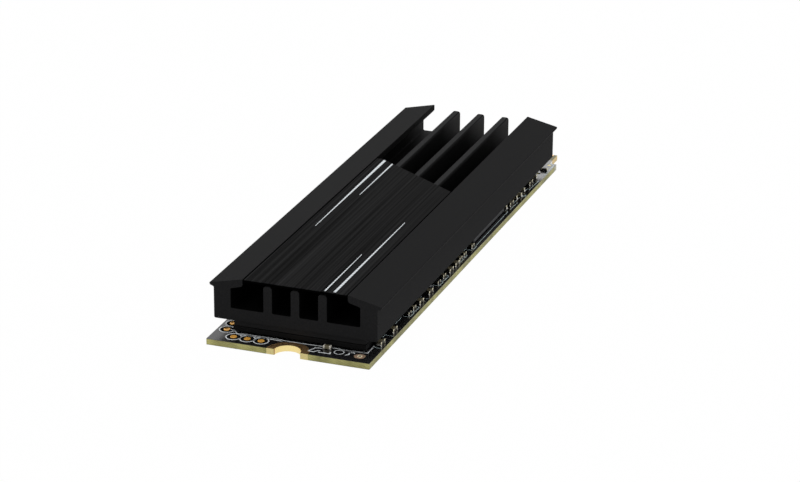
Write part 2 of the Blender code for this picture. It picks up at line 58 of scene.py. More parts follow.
bpy.ops.object.camera_add()
photo_camera = bpy.context.object
photo_camera.name = "photo_camera"
photo_camera.data.lens = 140.43
photo_camera.data.sensor_width = 36.0
photo_camera.data.clip_start = 0.01
photo_camera.matrix_world = Matrix([[right[i], up[i], back[i], eye[i]] for i in range(3)]
                                   + [[0.0, 0.0, 0.0, 1.0]])
bpy.context.scene.camera = photo_camera
bpy.context.scene.view_settings.view_transform = "Standard"


# Studio. The drive lies on a plain pale table under one broad soft lamp, in a white room
# that is dimmer in front of the drive than above and beside it.

room_level = 0.72
table_shade = 0.86
table_whiteness = 0.985
table_size = 6.0
table_drop = 0.02 * mm
plain_white = (1.0, 1.0, 1.0, 1.0)


def place(tree, kind, values=None, **settings):
    """Adds a node to a tree, with its settings and with a value or a link for each input."""
    node = tree.nodes.new("ShaderNode" + kind)
    for key, value in settings.items():
        setattr(node, key, value)
    for key, value in (values or {}).items():
        if isinstance(value, bpy.types.NodeSocket):
            tree.links.new(value, node.inputs[key])
        else:
            node.inputs[key].default_value = value
    return node


def calc(tree, operation, *values):
    """The result of a Math node on numbers or links."""
    return place(tree, "Math", dict(enumerate(values)), operation=operation).outputs[0]


def seen_directly(tree):
    """One where a ray comes from the camera, a gloss or a clear body, and nought elsewhere."""
    path = place(tree, "LightPath").outputs
    seen = calc(tree, "MAXIMUM", path["Is Camera Ray"], path["Is Glossy Ray"])
    return calc(tree, "MAXIMUM", seen, path["Is Transmission Ray"])


room = bpy.data.worlds.new("white_room")
bpy.context.scene.world = room
room.use_nodes = True
room.node_tree.nodes.clear()
dim = place(room.node_tree, "Background", {"Color": plain_white, "Strength": room_level})
white = place(room.node_tree, "Background", {"Color": plain_white, "Strength": 1.0})
walls = place(room.node_tree, "MixShader", {0: seen_directly(room.node_tree),
                                            1: dim.outputs[0], 2: white.outputs[0]})
place(room.node_tree, "OutputWorld", {"Surface": walls.outputs[0]})

bpy.ops.mesh.primitive_plane_add(size=table_size, location=(0.0, 0.0, -table_drop))
table_top = bpy.context.object
table_top.name = "table_top"
table_finish = bpy.data.materials.new("pale_table")
table_finish.use_nodes = True
table_tree = table_finish.node_tree
table_tree.nodes.clear()
paint = place(table_tree, "BsdfDiffuse", {"Color": (table_shade,) * 3 + (1.0,)})
glow = place(table_tree, "Emission", {"Color": plain_white, "Strength": 1.0})
share = calc(table_tree, "MULTIPLY", seen_directly(table_tree), table_whiteness)
surface = place(table_tree, "MixShader", {0: share, 1: paint.outputs[0], 2: glow.outputs[0]})
place(table_tree, "OutputMaterial", {"Surface": surface.outputs[0]})
table_top.data.materials.append(table_finish)


def soft_lamp(name, location, size, power):
    """A square lamp that faces the drive."""
    bpy.ops.object.light_add(type="AREA", location=location)
    lamp = bpy.context.object
    lamp.name = name
    lamp.data.size = size
    lamp.data.energy = power
    lamp.rotation_euler = (-Vector(location)).to_track_quat("-Z", "Y").to_euler()


soft_lamp("ceiling_lamp", (0.05, 0.25, 0.70), 0.60, 1.6)
soft_lamp("side_lamp", (0.70, 0.10, 0.30), 0.50, 0.9)
soft_lamp("far_lamp", (-0.130, 0.483, 0.174), 0.070, 0.038)


# Board laminate. Woven glass cloth in resin, pressed in plies and routed to shape, so that
# its cut edges are olive with the ends of the yarns showing. The lower mask is a coat on it.
# The sizes and places of its pattern are in millimetres.

ply_height = 0.11
ply_tone_scale = 0.16
ply_tone_range = (0.35, 0.65, 0.62, 1.15)
yarn_pitch = 0.95
yarn_stagger = 2.3
yarn_share = 0.10
patch_scale = 0.55
fibre_scale = 9.0
fibre_share = 0.42
cloth_range = (0.35, 1.05, 0.0, 1.0)
cloth_relief = 0.01
lower_coat = 0.029
mask_line = 37.40
far_end_painted_light_range = (34.6, 37.0, 0.0, 0.85)
near_end_facing_limit = -0.7
painted_near_end_light_gain = 0.34
cut_roughness = 0.55
coat_roughness = 0.30
resin = (0.116, 0.106, 0.023, 1.0)
glass_yarn = (0.462, 0.440, 0.158, 1.0)
tongue_edge = (0.600, 0.450, 0.200, 1.0)
tongue_face = (0.150, 0.135, 0.060, 1.0)
painted_light_edge_colour = (0.820, 0.810, 0.780, 1.0)
mask_black = (0.0100, 0.0100, 0.0110, 1.0)
darkest_grain = 0.1


def finish(name, colour, roughness, metallic=0.0):
    """A new material with one Principled shader, and that shader."""
    material = bpy.data.materials.new(name)
    material.use_nodes = True
    shader = material.node_tree.nodes["Principled BSDF"]
    shader.inputs["Base Color"].default_value = colour
    shader.inputs["Roughness"].default_value = roughness
    shader.inputs["Metallic"].default_value = metallic
    return material, material.node_tree, shader


def apply_finish(material, *nodes):
    for node in nodes:
        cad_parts[node].material_slots[0].material = material


def noise(tree, where, scale, detail, roughness=0.5):
    return place(tree, "TexNoise", {"Vector": where, "Scale": scale, "Detail": detail,
                                    "Roughness": roughness}).outputs[0]


def mix(tree, share, first, second):
    """The first colour where the share is nought, the second where it is one."""
    return place(tree, "Mix", {0: share, 6: first, 7: second}, data_type="RGBA").outputs[2]


def scaled(tree, vector, factor):
    return place(tree, "VectorMath", {0: vector, "Scale": factor}, operation="SCALE").outputs[0]


def ramp(tree, value, start, stop, first, last):
    """Goes from the first number to the last as the value goes from start to stop."""
    return place(tree, "MapRange", {"Value": value, "From Min": start, "From Max": stop,
                                    "To Min": first, "To Max": last}).outputs[0]


def by_axis(tree, kind):
    """The X, Y and Z of the surface's place, "Object", or of its facing, "Normal"."""
    return place(tree, "SeparateXYZ", {0: place(tree, "TexCoord").outputs[kind]}).outputs


def grain_group():
    """Fine variation on Object coordinates: an even grain, or lines where it is stretched."""
    group = bpy.data.node_groups.new("surface_grain", "ShaderNodeTree")
    for name, kind in (("Colour", "Color"), ("Grains per metre", "Float"), ("Stretch", "Vector"),
                       ("Contrast", "Float"), ("Roughness", "Float"),
                       ("Roughness spread", "Float")):
        group.interface.new_socket(name, in_out="INPUT", socket_type="NodeSocket" + kind)
    for name, kind in (("Colour", "Color"), ("Roughness", "Float"), ("Height", "Float")):
        group.interface.new_socket(name, in_out="OUTPUT", socket_type="NodeSocket" + kind)
    given = group.nodes.new("NodeGroupInput").outputs
    made = group.nodes.new("NodeGroupOutput").inputs
    where = place(group, "TexCoord").outputs["Object"]
    stretched = place(group, "VectorMath", {0: where, 1: given["Stretch"]}, operation="MULTIPLY")
    height = noise(group, stretched.outputs[0], given["Grains per metre"], 4.0, 0.6)
    off_middle = calc(group, "SUBTRACT", height, 0.5)
    shade = calc(group, "MULTIPLY_ADD", off_middle, given["Contrast"], 1.0)
    shade = calc(group, "MAXIMUM", shade, darkest_grain)
    colour = place(group, "HueSaturation", {"Color": given["Colour"], "Value": shade})
    rough = calc(group, "MULTIPLY_ADD", off_middle, given["Roughness spread"], given["Roughness"])
    group.links.new(colour.outputs[0], made["Colour"])
    group.links.new(rough, made["Roughness"])
    group.links.new(height, made["Height"])
    return group


surface_grain = grain_group()


def grained(name, colour, roughness, grain=0.05, bump=0.002, metallic=0.0, contrast=0.3,
            spread=0.1, stretch=(1.0, 1.0, 1.0)):
    """A finish with the grain group on its colour, roughness and relief. 'grain' is a grain's
    size and 'bump' its height, in millimetres."""
    material, tree, shader = finish(name, colour, roughness, metallic)
    node = place(tree, "Group", {
        "Colour": colour, "Grains per metre": 1.0 / (grain * mm), "Stretch": stretch,
        "Contrast": contrast, "Roughness": roughness, "Roughness spread": spread},
        node_tree=surface_grain)
    tree.links.new(node.outputs["Colour"], shader.inputs["Base Color"])
    tree.links.new(node.outputs["Roughness"], shader.inputs["Roughness"])
    relief = place(tree, "Bump", {"Height": node.outputs["Height"], "Strength": 1.0,
                                  "Distance": bump * mm})
    tree.links.new(relief.outputs[0], shader.inputs["Normal"])
    return material, tree, shader, node


laminate, tree, shader = finish("glass_laminate", glass_yarn, cut_roughness)
where = scaled(tree, place(tree, "TexCoord").outputs["Object"], 1.0 / mm)
axes = place(tree, "SeparateXYZ", {0: where}).outputs
facing = by_axis(tree, "Normal")
ply = calc(tree, "DIVIDE", axes[2], ply_height)
lens = calc(tree, "SINE", calc(tree, "MULTIPLY", calc(tree, "FRACT", ply), math.pi))
turns = calc(tree, "MULTIPLY", calc(tree, "ADD", axes[0], axes[1]), 2.0 * math.pi / yarn_pitch)
stagger = calc(tree, "MULTIPLY_ADD", calc(tree, "FLOOR", ply), yarn_stagger, turns)
yarn_end = calc(tree, "MULTIPLY", calc(tree, "SINE", stagger), lens)
cloth = calc(tree, "MULTIPLY_ADD", yarn_end, yarn_share, noise(tree, where, patch_scale, 3.0))
cloth = calc(tree, "MULTIPLY_ADD", noise(tree, where, fibre_scale, 4.0), fibre_share, cloth)
cloth = ramp(tree, cloth, *cloth_range)
ply_tone = ramp(tree, noise(tree, where, ply_tone_scale, 1.0), *ply_tone_range)
# Painted light: faces that look towards -Y, the screw end, get a fixed gain on their tone.
faces_near_end = calc(tree, "LESS_THAN", facing[1], near_end_facing_limit)
ply_and_painted_light_tone = calc(tree, "MULTIPLY_ADD", faces_near_end, painted_near_end_light_gain, ply_tone)
edge_colour = scaled(tree, mix(tree, cloth, resin, glass_yarn), ply_and_painted_light_tone)
# Painted light: past the heatsink's far end the cut edges blend towards near white.
edge_colour = mix(tree, ramp(tree, axes[1], *far_end_painted_light_range), edge_colour, painted_light_edge_colour)
on_tongue = calc(tree, "GREATER_THAN", axes[1], mask_line)
flat = calc(tree, "GREATER_THAN", calc(tree, "ABSOLUTE", facing[2]), 0.5)
core_colour = mix(tree, on_tongue, edge_colour, mix(tree, flat, tongue_edge, tongue_face))
below = calc(tree, "LESS_THAN", axes[2], lower_coat)
coated = calc(tree, "MULTIPLY", below, calc(tree, "LESS_THAN", axes[1], mask_line))
tree.links.new(mix(tree, coated, core_colour, mask_black), shader.inputs["Base Color"])
rough = ramp(tree, coated, 0.0, 1.0, cut_roughness, coat_roughness)
tree.links.new(rough, shader.inputs["Roughness"])
relief = place(tree, "Bump", {"Height": cloth, "Strength": 0.6, "Distance": cloth_relief * mm})
tree.links.new(relief.outputs[0], shader.inputs["Normal"])
apply_finish(laminate, "board_laminate")


# Contact fingers. Hard gold strips in two rows on the tongue, one on each face, with a gap at
# the key slot. Each runs down the bevel at the board's tip.

gold_colour = (0.910, 0.740, 0.330, 1.0)
up_facing_painted_gold = (0.980, 0.600, 0.270, 1.0)
gold, tree, shader, grain = grained("gold_plating", gold_colour, 0.30, grain=0.06, bump=0.0012,
                                    metallic=0.92, contrast=0.25, spread=0.20)
# Painted reflection: faces that look up get a warmer, redder gold than the upright and downward
# faces.
gold_with_painted_tint = mix(tree, by_axis(tree, "Normal")[2], grain.outputs["Colour"], up_facing_painted_gold)
tree.links.new(gold_with_painted_tint, shader.inputs["Base Color"])

finger_pitch = 0.50 * mm
finger_width = 0.36 * mm
finger_near = 37.72 * mm
finger_far = 39.78 * mm
finger_gold = 0.006 * mm
thin_bevel = 0.004 * mm
bevel_start = 39.65 * mm
bevel_fall = 0.514
key_place = -6.125 * mm
key_margin = 0.925 * mm
board_top = 0.80 * mm
nearly = 0.01 * mm


def deselect_mesh():
    bpy.ops.object.mode_set(mode="EDIT")
    bpy.ops.mesh.select_mode(type="VERT")
    bpy.ops.mesh.select_all(action="DESELECT")


def pick(piece, test):
    """Selects the vertices that pass a test of their place, and the edges and faces on them."""
    mesh = bmesh.from_edit_mesh(piece.data)
    for corner in mesh.verts:
        corner.select = test(corner.co)
    mesh.select_flush(True)
    mesh.select_flush(False)
    bmesh.update_edit_mesh(piece.data)


def block(name, low, high):
    """A cube added and sized between two corners, ready for more work; its place is in its mesh."""
    low, high = Vector(low), Vector(high)
    bpy.ops.mesh.primitive_cube_add(size=1.0, location=(low + high) / 2)
    piece = bpy.context.object
    piece.name = name
    piece.scale = high - low
    bpy.ops.object.transform_apply(location=True, rotation=True, scale=True)
    return piece


def use_modifier(piece, name, kind, **settings):
    """Adds a modifier to a piece and applies it."""
    modifier = piece.modifiers.new(name, kind)
    for key, value in settings.items():
        setattr(modifier, key, value)
    bpy.context.view_layer.objects.active = piece
    bpy.ops.object.modifier_apply(modifier=modifier.name)


for name, first, slots, side in (("contact_fingers_top", 9.25 * mm, 38, 1),
                                 ("contact_fingers_under", 9.00 * mm, 37, -1)):
    level = board_top if side > 0 else 0.0
    row = block(name, (first - finger_width / 2, finger_near, level - finger_gold),
                (first + finger_width / 2, finger_far, level + finger_gold))
    bpy.ops.object.mode_set(mode="EDIT")
    bpy.ops.mesh.select_all(action="SELECT")
    bpy.ops.mesh.bisect(plane_co=(0.0, bevel_start, 0.0), plane_no=(0.0, 1.0, 0.0))
    pick(row, lambda co: co.y > finger_far - nearly)
    bpy.ops.transform.translate(value=(0.0, 0.0, -side * (finger_far - bevel_start) * bevel_fall))
    bpy.ops.object.mode_set(mode="OBJECT")
    use_modifier(row, "soft_edges", "BEVEL", width=thin_bevel, segments=1)
    use_modifier(row, "row", "ARRAY", count=slots, use_relative_offset=False,
                 use_constant_offset=True, constant_offset_displace=(-finger_pitch, 0.0, 0.0))
    deselect_mesh()
    pick(row, lambda co: abs(co.x - key_place) < key_margin - finger_width / 2 + nearly)
    bpy.ops.mesh.delete(type="VERT")
    bpy.ops.object.mode_set(mode="OBJECT")
    row.data.materials.append(gold)
    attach(row, "root")


# Upper solder mask. A thin black coat, screened and cured, glossy at a low angle. It ends
# short of the contact fingers and leaves the pads and the notch's land bare.

solder_mask, tree, shader, grain = grained("black_solder_mask", mask_black, 0.25, grain=0.35,
                                           bump=0.0008, contrast=0.5, spread=0.08)
shader.inputs["Specular IOR Level"].default_value = 0.64
apply_finish(solder_mask, "solder_mask_top")


# Tented vias. Plated holes that join the copper layers, sealed by the mask, which shows each
# as a low ring. They lie between the chip parts and beside the connector, on both faces.

via_radius = 0.17 * mm
via_rise = 0.014 * mm
via_root = 0.010 * mm
via_crown = 0.82
via_lip = 0.025 * mm
via_slope = 0.045 * mm
via_dip = 0.8
via_places = [(10.64, -32.73), (10.64, -32.03), (10.60, -28.20), (10.55, -26.30), (10.62, -19.60),
              (10.62, -18.90), (10.60, -15.90), (10.60, -8.30), (10.62, -7.60), (10.60, -0.80),
              (-10.30, -29.50), (-10.30, -28.60), (-10.30, -24.00), (-10.00, -17.60),
              (-10.40, -11.20), (-10.40, -10.30), (-9.90, -4.00), (-10.30, 1.60), (-10.30, 9.80),
              (-10.20, 10.70), (-10.40, 16.20), (-9.70, 19.40), (-10.20, 22.70), (-10.30, 27.90)]
via_places += [(-8.6 + 1.31 * i, 36.45 + 0.36 * (i % 3 - 1)) for i in range(14)]
via_places += [(-7.9 + 1.73 * i, 34.85 + 0.30 * (i % 2)) for i in range(10)]
via_places += [(9.25, 32.60), (8.95, 31.55), (10.05, 32.55), (9.70, 27.90), (10.00, 22.00)]


def repeat(model, places, name):
    """Copies a model to each (x, y, turn), each copy with its own mesh, and joins the copies."""
    bpy.ops.object.select_all(action="DESELECT")
    for x, y, turn in places:
        copy = model.copy()
        copy.data = model.data.copy()
        bpy.context.scene.collection.objects.link(copy)
        copy.location = (x, y, 0.0)
        copy.rotation_euler.z = turn
        copy.select_set(True)
        bpy.context.view_layer.objects.active = copy
    bpy.data.objects.remove(model)
    bpy.ops.object.join()
    bpy.ops.object.transform_apply(location=True, rotation=True, scale=True)
    joined = bpy.context.object
    joined.name = name
    bpy.ops.object.shade_smooth_by_angle(angle=math.radians(35))
    return joined


for name, level, side in (("tented_vias_top", board_top, 1), ("tented_vias_under", 0.0, -1)):
    bpy.ops.mesh.primitive_cylinder_add(vertices=16, radius=via_radius, depth=via_rise + via_root,
                                        location=(0.0, 0.0, level + (via_rise - via_root) / 2))
    via = bpy.context.object
    bpy.ops.object.transform_apply(location=True)
    deselect_mesh()
    pick(via, lambda co: co.z > level + via_rise / 2)
    bpy.ops.transform.resize(value=(via_crown, via_crown, 1.0))
    bpy.ops.mesh.inset(thickness=via_lip)
    bpy.ops.mesh.inset(thickness=via_slope)
    bpy.ops.transform.translate(value=(0.0, 0.0, -via_rise * via_dip))
    bpy.ops.object.mode_set(mode="OBJECT")
    if side < 0:
        via.rotation_euler.x = math.pi
        bpy.ops.object.transform_apply(rotation=True)
    via.data.materials.append(solder_mask)
    rings = repeat(via, [(x * mm, y * mm, 0.0) for x, y in via_places], name)
    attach(rings, "root")


# Gold plating. Thin gold over nickel on copper: the half-round screw notch with its land,
# the round test pads, and the pad by the connector.

apply_finish(gold, "notch_plating")

edge_gold = grained("satin_edge_gold", (0.660, 0.560, 0.240, 1.0), 0.42, grain=0.10,
                    metallic=0.5, spread=0.15)[0]
# Painted shade: a dark orange-brown finish for the thin strip that stands for a seam's shade.
seam_shade_gold = grained("burnt_edge_gold", (0.300, 0.120, 0.020, 1.0), 0.5, grain=0.10,
                     metallic=0.3)[0]
apply_finish(edge_gold, "edge_pad")
plating_end = 2.80 * mm
notch_side = 1.75 * mm
near_face = -40.0 * mm
edge_skin = 0.006 * mm
seam_shade_out = 0.07 * mm
seam_shade_in = 0.03 * mm
seam_shade_foot = 0.05 * mm
for name, side in (("notch_edge_left", -1), ("notch_edge_right", 1)):
    across = sorted((side * notch_side, side * plating_end))
    strip = block(name, (across[0], near_face - edge_skin, 0.0),
                  (across[1], near_face + edge_skin, board_top + edge_skin / 2))
    use_modifier(strip, "soft_edges", "BEVEL", width=thin_bevel, segments=2)
    strip.data.materials.append(edge_gold)
    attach(strip, "root")
# Painted shade: a thin dark strip at the inner end of the left plating, in place of a seam's shade.
seam_shade_strip = block("notch_burr_left", (-notch_side - seam_shade_in, near_face - 1.5 * edge_skin, seam_shade_foot),
             (-notch_side + seam_shade_out, near_face + 6.0 * edge_skin, board_top))
use_modifier(seam_shade_strip, "soft_edges", "BEVEL", width=0.006 * mm, segments=2)
seam_shade_strip.data.materials.append(seam_shade_gold)
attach(seam_shade_strip, "root")


# Test pads. Five round gold pads, each with a raised rim and a shallow dish that the test
# probe rests in. Each lies on a round patch of bare dull laminate.

pad_gold, tree, shader, grain = grained("pad_gold", (0.980, 0.500, 0.090, 1.0), 0.26,
                                        bump=0.0015, metallic=0.12, spread=0.2)
shader.inputs["Specular IOR Level"].default_value = 0.25
polish = ramp(tree, by_axis(tree, "Object")[0], -9.4 * mm, -8.8 * mm, 0.62, 0.12)
tree.links.new(polish, shader.inputs["Metallic"])
bare_patch, tree, shader, grain = grained("bare_patch", (0.0065, 0.0065, 0.0065, 1.0), 0.9,
                                          grain=0.08, bump=0.001, contrast=0.4)
shader.inputs["IOR"].default_value = 1.10
patch_radius = 0.88 * mm
patch_rise = 0.003 * mm
pad_radius = 0.44 * mm
# how far each step of the dish goes inwards and upwards, in millimetres
dish_steps = ((0.015, 0.045), (0.035, 0.020), (0.050, -0.008), (0.060, -0.028), (0.080, -0.016),
              (0.090, -0.006))
for number in range(1, 6):
    low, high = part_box(f"test_pad_{number}")
    bpy.ops.mesh.primitive_cylinder_add(vertices=32, radius=pad_radius, depth=high.z - low.z,
                                        location=(low + high) / 2)
    pad = bpy.context.object
    pad.name = f"dished_test_pad_{number}"
    bpy.ops.object.transform_apply(location=True)
    deselect_mesh()
    pick(pad, lambda co: co.z > high.z - nearly)
    for step_in, step_up in dish_steps:
        bpy.ops.mesh.inset(thickness=step_in * mm)
        bpy.ops.transform.translate(value=(0.0, 0.0, step_up * mm))
    bpy.ops.object.mode_set(mode="OBJECT")
    bpy.ops.object.shade_smooth_by_angle(angle=math.radians(50))
    pad.data.materials.append(pad_gold)
    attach(pad, "root")
    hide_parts(f"test_pad_{number}")
    bpy.ops.mesh.primitive_cylinder_add(vertices=40, radius=patch_radius, depth=2.0 * patch_rise,
                                        location=((low.x + high.x) / 2, (low.y + high.y) / 2,
                                                  board_top))
    patch = bpy.context.object
    patch.name = f"test_pad_patch_{number}"
    bpy.ops.object.transform_apply(location=True)
    patch.data.materials.append(bare_patch)
    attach(patch, "root")


# Ground pad. A bare copper disc with a plated hole at its middle, dull from the preservative
# on it.

copper = grained("bare_copper", (0.600, 0.410, 0.285, 1.0), 0.48, grain=0.08, bump=0.001,
                 metallic=0.6, spread=0.15)[0]
hole_plating = grained("hole_plating", (0.950, 0.860, 0.600, 1.0), 0.30, metallic=0.20,
                       contrast=0.8, spread=0.2)[0]
apply_finish(copper, "ground_pad")

rim_radius = 0.27 * mm
rim_thickness = 0.07 * mm
rim_flatness = 0.7
shade_disc_radius = 0.25 * mm
shade_disc_height = 0.02 * mm
low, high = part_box("ground_pad")
pad_middle = ((low.x + high.x) / 2, (low.y + high.y) / 2, high.z)
bpy.ops.mesh.primitive_torus_add(major_segments=24, minor_segments=8, major_radius=rim_radius,
                                 minor_radius=rim_thickness, location=pad_middle)
hole_rim = bpy.context.object
hole_rim.name = "ground_pad_hole_rim"
hole_rim.scale.z = rim_flatness
bpy.ops.object.transform_apply(location=True, scale=True)
bpy.ops.object.shade_smooth()
hole_rim.data.materials.append(hole_plating)
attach(hole_rim, "root")
# Painted shade: a thin dark disc of mask finish over the hole stands for the shade inside it.
bpy.ops.mesh.primitive_cylinder_add(vertices=24, radius=shade_disc_radius, depth=shade_disc_height,
                                    location=pad_middle)
shade_disc = bpy.context.object
shade_disc.name = "ground_pad_hole_plug"
bpy.ops.object.transform_apply(location=True)
shade_disc.data.materials.append(solder_mask)
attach(shade_disc, "root")


# Board markings. Outlines and rings screened in pale ink on the mask, round the places of the
# test pads, the packages and the chip parts.

marking_ink = grained("marking_ink", (0.940, 0.985, 1.000, 1.0), 0.40, grain=0.09, bump=0.003)[0]
thin_ink = grained("thin_marking_ink", (0.600, 0.740, 0.760, 1.0), 0.50, grain=0.09)[0]
ink_width = 0.16 * mm
fine_ink = 0.08 * mm
heavy_ink = 0.26 * mm
broad_ink = 0.50 * mm
ink_height = 0.010 * mm
pad_ring_radius = 0.97
box_corner = 0.22
least_mitre = 0.4
merge_gap = 1e-7


def printed_line(points, width=ink_width):
    """A flat inked line through points in millimetres, mitred at its turns."""
    points = [Vector((x * mm, y * mm, board_top)) for x, y in points]
    bpy.ops.mesh.primitive_plane_add(size=width, location=points[0])
    line = bpy.context.object
    bpy.ops.object.transform_apply(location=True)
    bpy.ops.object.mode_set(mode="EDIT")
    mesh = bmesh.from_edit_mesh(line.data)
    mesh.verts.ensure_lookup_table()
    pairs = [mesh.verts[:2], mesh.verts[2:4]]
    for _ in range(len(points) - 2):
        bpy.ops.mesh.select_all(action="DESELECT")
        for corner in pairs[-1]:
            corner.select = True
        mesh.select_flush(True)
        bpy.ops.mesh.extrude_edges_move(TRANSFORM_OT_translate={"value": (0.0, width, 0.0)})
        pairs.append([corner for corner in mesh.verts if corner.select])
    for index, pair in enumerate(pairs):
        here = points[index]
        before = (here - points[index - 1]).normalized() if index else None
        after = (points[index + 1] - here).normalized() if index < len(points) - 1 else None
        before, after = before or after, after or before
        along = (before + after).normalized()
        side = Vector((-along.y, along.x, 0.0))
        reach = width / 2 / max(least_mitre, side.dot(Vector((-before.y, before.x, 0.0))))
        pair = sorted(pair, key=lambda corner: corner.co.x)
        pair[0].co = here + side * reach
        pair[1].co = here - side * reach
    bmesh.update_edit_mesh(line.data)
    bpy.ops.object.mode_set(mode="OBJECT")
    return line


def printed_ring(x, y, radius, width=ink_width):
    """A flat inked ring round a point, its place and radius in millimetres."""
    bpy.ops.mesh.primitive_circle_add(vertices=44, radius=radius * mm + width / 2,
                                      fill_type="NGON", location=(x * mm, y * mm, board_top))
    ring = bpy.context.object
    bpy.ops.object.transform_apply(location=True)
    bpy.ops.object.mode_set(mode="EDIT")
    bpy.ops.mesh.select_all(action="SELECT")
    bpy.ops.mesh.inset(thickness=width)
    bpy.ops.mesh.delete(type="FACE")
    bpy.ops.object.mode_set(mode="OBJECT")
    return ring


ink_lines = [
    # round the first flash package
    [(-9.30, -36.20), (-8.60, -36.45), (-8.05, -37.12), (-4.90, -37.15), (0.0, -37.13),
     (9.64, -37.00), (9.63, -34.62)],
]
fine_lines = [
    # beside the first package and the second one
    [(9.63, -34.62), (10.0, -35.10), (10.77, -35.00)],
    [(9.62, -31.85), (9.62, -30.60), (10.0, -30.95), (10.70, -30.90)],
    [(9.62, -27.10), (9.62, -24.80)],
    [(9.62, -19.20), (9.62, -17.60), (10.0, -17.95), (10.70, -17.90)],
    [(9.55, -3.30), (9.55, 0.60)],
    [(9.62, -9.10), (9.62, -7.30)],
    # in front of the controller and along its side
    [(9.70, 0.20), (10.30, 0.05), (10.58, 0.40), (10.60, 1.60), (10.45, 2.00), (10.45, 15.40),
     (10.38, 15.72), (9.96, 15.80)],
    [(10.46, 16.40), (10.60, 19.40)],
    [(10.12, 19.20), (10.25, 21.40)],
    [(10.50, 21.60), (10.62, 22.30), (10.80, 22.60), (10.85, 21.80)],
    [(10.20, 24.00), (10.20, 25.00)],
    [(10.52, 24.75), (10.70, 28.60)],
    [(10.74, 30.50), (10.76, 35.30), (10.60, 35.62), (9.95, 35.62)],
]
# round the capacitor at the screw end
ink_lines += [
    [(2.40, -39.00), (2.95, -37.75), (4.05, -37.62)],
    [(2.40, -39.00), (3.20, -38.98), (3.45, -38.55), (3.80, -38.35)],
    [(3.70, -38.88), (4.90, -38.88), (5.32, -38.88), (5.20, -38.35)],
    [(7.20, -38.60), (7.62, -38.20), (7.45, -37.75)],
    [(7.60, -37.62), (8.05, -37.50), (8.15, -37.78)],
]
ink_boxes = [(9.60, 10.62, -24.40, -22.65), (9.60, 10.62, -22.55, -20.80),
             (9.60, 10.62, -13.25, -11.60), (9.60, 10.62, -11.30, -9.40),
             (9.60, 10.50, -4.70, -3.10), (9.60, 10.50, -2.80, -1.70)]
for left, far_right, low_y, high_y in ink_boxes:
    fine_lines.append([(left, low_y), (far_right - box_corner, low_y),
                       (far_right, low_y + box_corner), (far_right, high_y - box_corner),
                       (far_right - box_corner, high_y), (left, high_y)])
ink_pieces = [printed_line(line) for line in ink_lines]
fine_pieces = [printed_line(line, fine_ink) for line in fine_lines]
ink_pieces.append(printed_line([(-7.60, -37.16), (-4.60, -37.17), (-1.75, -37.16)], broad_ink))
ink_pieces.append(printed_line([(6.10, -37.08), (7.90, -37.05), (9.50, -37.02)], heavy_ink))
for number in range(1, 6):
    low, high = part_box(f"test_pad_{number}")
    ink_pieces.append(printed_ring((low.x + high.x) / 2 / mm, (low.y + high.y) / 2 / mm,
                                   pad_ring_radius))
# one ring beside the second package and one beside the front capacitor
for x, y, radius, width in ((9.71, -13.70, 0.25, 0.08), (6.20, -38.00, 0.62, 0.11)):
    ink_pieces.append(printed_ring(x, y, radius, width * mm))
for name, pieces, ink in (("board_markings", ink_pieces, marking_ink),
                          ("fine_markings", fine_pieces, thin_ink)):
    bpy.ops.object.select_all(action="DESELECT")
    for piece in pieces:
        piece.select_set(True)
    bpy.context.view_layer.objects.active = pieces[0]
    bpy.ops.object.join()
    markings = bpy.context.object
    markings.name = name
    bpy.ops.object.mode_set(mode="EDIT")
    bpy.ops.mesh.select_all(action="SELECT")
    bpy.ops.mesh.remove_doubles(threshold=merge_gap)
    bpy.ops.mesh.normals_make_consistent(inside=False)
    bpy.ops.object.mode_set(mode="OBJECT")
    use_modifier(markings, "ink_thickness", "SOLIDIFY", thickness=ink_height, offset=0.0)
    markings.data.materials.append(ink)
    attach(markings, "root")


# Memory and controller packages. Chips moulded in black epoxy on a thin dark substrate,
# soldered to the board by rows of balls.

epoxy, tree, shader, grain = grained("moulded_epoxy", (0.0058, 0.0058, 0.0060, 1.0), 0.55,
                                     bump=0.003, contrast=0.6, spread=0.15)
shader.inputs["IOR"].default_value = 1.14
apply_finish(epoxy, "flash_package_1", "flash_package_2", "cache_package", "power_chip")
controller_finish = grained("controller_lid", (0.045, 0.045, 0.048, 1.0), 0.42, metallic=0.1,
                            contrast=0.4, spread=0.12)[0]
apply_finish(controller_finish, "controller_package")


def painted_side_light_group():
    """Painted light and shade: scales a colour by one tone on the faces across X and by another on
    the rest.
    """
    group = bpy.data.node_groups.new("side_tone", "ShaderNodeTree")
    for name, kind in (("Colour", "Color"), ("Elsewhere", "Float"), ("Across", "Float")):
        group.interface.new_socket(name, in_out="INPUT", socket_type="NodeSocket" + kind)
    group.interface.new_socket("Colour", in_out="OUTPUT", socket_type="NodeSocketColor")
    given = group.nodes.new("NodeGroupInput").outputs
    made = group.nodes.new("NodeGroupOutput").inputs
    across = calc(group, "ABSOLUTE", by_axis(group, "Normal")[0])
    tone = ramp(group, across, 0.30, 0.80, given["Elsewhere"], given["Across"])
    group.links.new(scaled(group, given["Colour"], tone), made["Colour"])
    return group


side_tone = painted_side_light_group()


def paint_side_light(tree, shader, grain, elsewhere, across):
    """Puts the painted side light and shade between a finish's grain and its colour."""
    node = place(tree, "Group", {"Colour": grain.outputs["Colour"], "Elsewhere": elsewhere,
                                 "Across": across}, node_tree=side_tone)
    tree.links.new(node.outputs["Colour"], shader.inputs["Base Color"])


